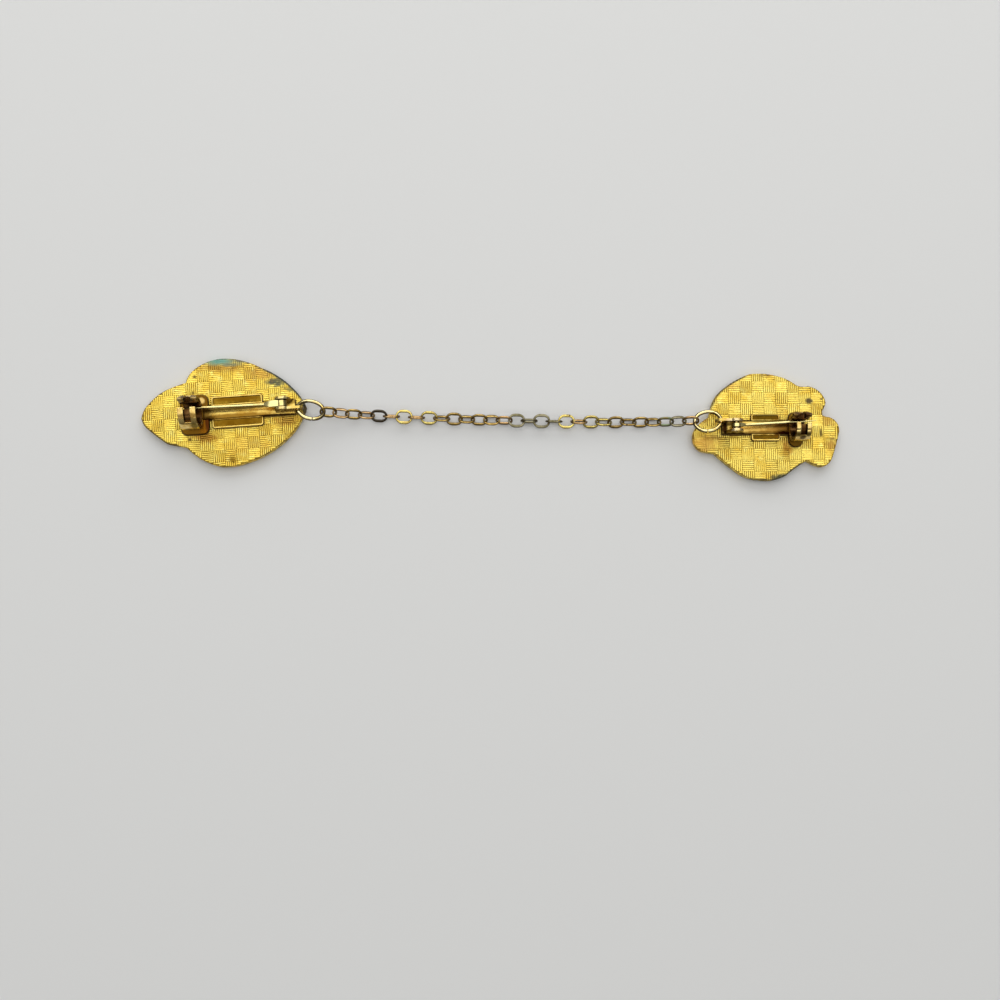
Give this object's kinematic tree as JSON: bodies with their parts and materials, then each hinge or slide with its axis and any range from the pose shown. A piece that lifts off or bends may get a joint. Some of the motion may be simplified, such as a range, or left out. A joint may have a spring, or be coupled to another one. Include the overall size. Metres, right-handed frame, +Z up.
{
  "type": "tie chain",
  "caption": "Jewellery chain joining a pair of woven-textured brooches, lying face down with the bar pins, rotary catches and link ears up.",
  "frame": {"origin": "centre of the bounding box on the surface that the brooches' fronts lie on", "axes": "+X along the chain from the left brooch to the right one, +Y across it towards the catches' mouths, +Z up out of the backs"},
  "size_m": [0.1506, 0.0258, 0.0092],
  "materials": {
    "gilt_plate": "bright gilt with a cast basket weave, tarnished at the edges",
    "pin_wire": "polished gilt wire",
    "worn_brass": "worn brown brass sheet",
    "ring_gilt": "worn gilt wire",
    "link_bright": "bright gilt",
    "link_rosy": "rosy worn gilt",
    "link_brown": "brown tarnished gilt",
    "link_grey": "dark bare metal",
    "link_green": "green verdigris"
  },
  "bodies": {
    "brooches_and_chain": {"left_brooch": "gilt_plate", "right_brooch": "gilt_plate", "left_jump_ring": "ring_gilt", "right_jump_ring": "ring_gilt", "link_01": "link_brown", "link_02": "link_rosy", "link_03": "link_brown", "link_04": "link_rosy", "link_05": "link_grey", "link_06": "link_rosy", "link_07": "link_bright", "link_08": "link_rosy", "link_09": "link_bright", "link_10": "link_brown", "link_11": "link_brown", "link_12": "link_brown", "link_13": "link_brown", "link_14": "link_brown", "link_15": "link_rosy", "link_16": "link_grey", "link_17": "link_grey", "link_18": "link_grey", "link_19": "link_grey", "link_20": "link_bright", "link_21": "link_rosy", "link_22": "link_bright", "link_23": "link_bright", "link_24": "link_brown", "link_25": "link_brown", "link_26": "link_brown", "link_27": "link_brown", "link_28": "link_green", "link_29": "link_grey", "link_30": "link_rosy"},
    "left_pin": {"left_pin": "pin_wire"},
    "left_catch_sleeve": {"left_catch_sleeve": "worn_brass"},
    "right_pin": {"right_pin": "pin_wire"},
    "right_catch_sleeve": {"right_catch_sleeve": "worn_brass"}
  },
  "joints": [
    {"name": "left_pin_hinge", "type": "hinge", "parent": "brooches_and_chain", "child": "left_pin", "pos_m": [-0.04517, 0.00256, 0.005], "axis": [-0.0802, 0.9968, 0], "range_deg": [0, 85]},
    {"name": "left_catch_turn", "type": "hinge", "parent": "brooches_and_chain", "child": "left_catch_sleeve", "pos_m": [-0.06394, 0.00019, 0.0058], "axis": [0.9968, 0.0802, 0], "range_deg": [0, 90]},
    {"name": "right_pin_hinge", "type": "hinge", "parent": "brooches_and_chain", "child": "right_pin", "pos_m": [0.05175, -0.0014, 0.005], "axis": [0.007, -1, 0], "range_deg": [0, 85]},
    {"name": "right_catch_turn", "type": "hinge", "parent": "brooches_and_chain", "child": "right_catch_sleeve", "pos_m": [0.06545, -0.00181, 0.00535], "axis": [1, 0.007, 0], "range_deg": [0, 90]}
  ]
}
